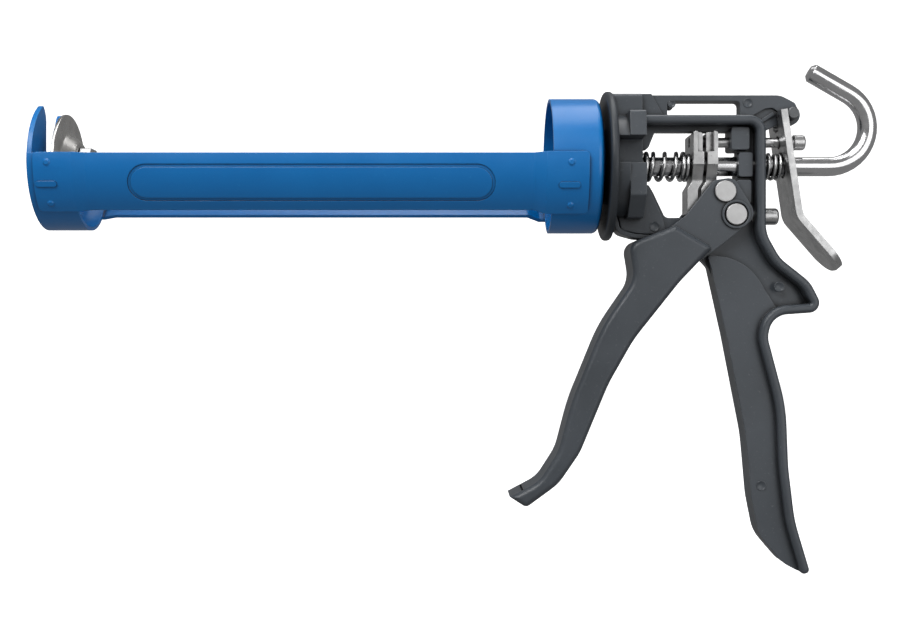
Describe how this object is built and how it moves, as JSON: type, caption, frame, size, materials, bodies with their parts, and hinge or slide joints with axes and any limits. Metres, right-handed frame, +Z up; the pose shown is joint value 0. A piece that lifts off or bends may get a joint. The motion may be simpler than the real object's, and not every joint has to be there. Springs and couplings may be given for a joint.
{
  "type": "caulking gun",
  "caption": "Hand-worked cartridge caulking gun with a turning open cradle, hooked push rod, pistol frame, trigger and release lever.",
  "frame": {"origin": "on the push rod axis, in the plane of the rear cup floor where the cartridge stands", "axes": "+X back along the rod towards the hook, +Z up, +Y to the right-hand side of the gun"},
  "size_m": [0.3477, 0.062, 0.2119],
  "materials": {
    "blue_paint": "glossy blue powder coat",
    "black_casting": "satin black paint on a die casting",
    "zinc_steel": "zinc plated",
    "bright_pin": "satin steel",
    "spring_steel": "zinc plated wire",
    "chrome_rod": "chrome plated"
  },
  "bodies": {
    "body_frame": {"frame": "black_casting", "swivel_disc": "black_casting", "retaining_ring": "zinc_steel", "lever_stop_pin": "zinc_steel", "pivot_pin": "bright_pin", "fulcrum_pin": "zinc_steel", "drive_spring": "spring_steel", "release_spring": "spring_steel"},
    "cradle": {"rear_cup": "blue_paint", "front_cap": "blue_paint", "strap_left": "blue_paint", "strap_right": "blue_paint"},
    "trigger_lever": {"trigger": "black_casting", "pivot_bush_left": "black_casting", "pivot_bush_right": "black_casting", "drive_pin": "bright_pin"},
    "drive_plates": {"front_grip_plate": "zinc_steel", "rear_drive_plate": "zinc_steel"},
    "tension": {"tension_rod": "zinc_steel"},
    "plunger": {"plunger_disc": "zinc_steel"},
    "rod": {"push_rod": "chrome_rod", "plunger_nut": "zinc_steel", "plunger_screw": "zinc_steel"},
    "thumb_lever": {"release_lever": "zinc_steel"}
  },
  "joints": [
    {"name": "cradle_turn", "type": "hinge", "parent": "body_frame", "child": "cradle", "pos_m": [0, 0, 0], "axis": [1, 0, 0], "continuous": true},
    {"name": "trigger_pull", "type": "hinge", "parent": "body_frame", "child": "trigger_lever", "pos_m": [0.0578, 0, -0.0207], "axis": [0, -1, 0], "range_deg": [0, 32], "stiffness_Nm_per_rad": 0.9, "springref_deg": -8.59},
    {"name": "plate_slide", "type": "slide", "parent": "body_frame", "child": "drive_plates", "axis": [1, 0, 0], "range_m": [-0.005, 0], "deforming": ["drive_spring"]},
    {"name": "tension_slide", "type": "slide", "parent": "body_frame", "child": "tension", "axis": [1, 0, 0], "range_m": [-0.0022, 0]},
    {"name": "rod_slide", "type": "slide", "parent": "body_frame", "child": "plunger", "axis": [1, 0, 0], "range_m": [-0.004, 0.203]},
    {"name": "rod_spin", "type": "hinge", "parent": "plunger", "child": "rod", "pos_m": [-0.2145, 0, 0], "axis": [1, 0, 0], "range_deg": [-90, 90]},
    {"name": "lever_press", "type": "hinge", "parent": "body_frame", "child": "thumb_lever", "pos_m": [0.0814, 0, 0.0212], "axis": [0, -1, 0], "range_deg": [-6, 0], "stiffness_Nm_per_rad": 1.5, "springref_deg": 5.73, "deforming": ["release_spring"]}
  ],
  "couplings": [
    {"joint": "plate_slide", "follows": "trigger_pull", "m_per_rad": -0.0086},
    {"joint": "tension_slide", "follows": "trigger_pull", "m_per_rad": -0.0036}
  ]
}
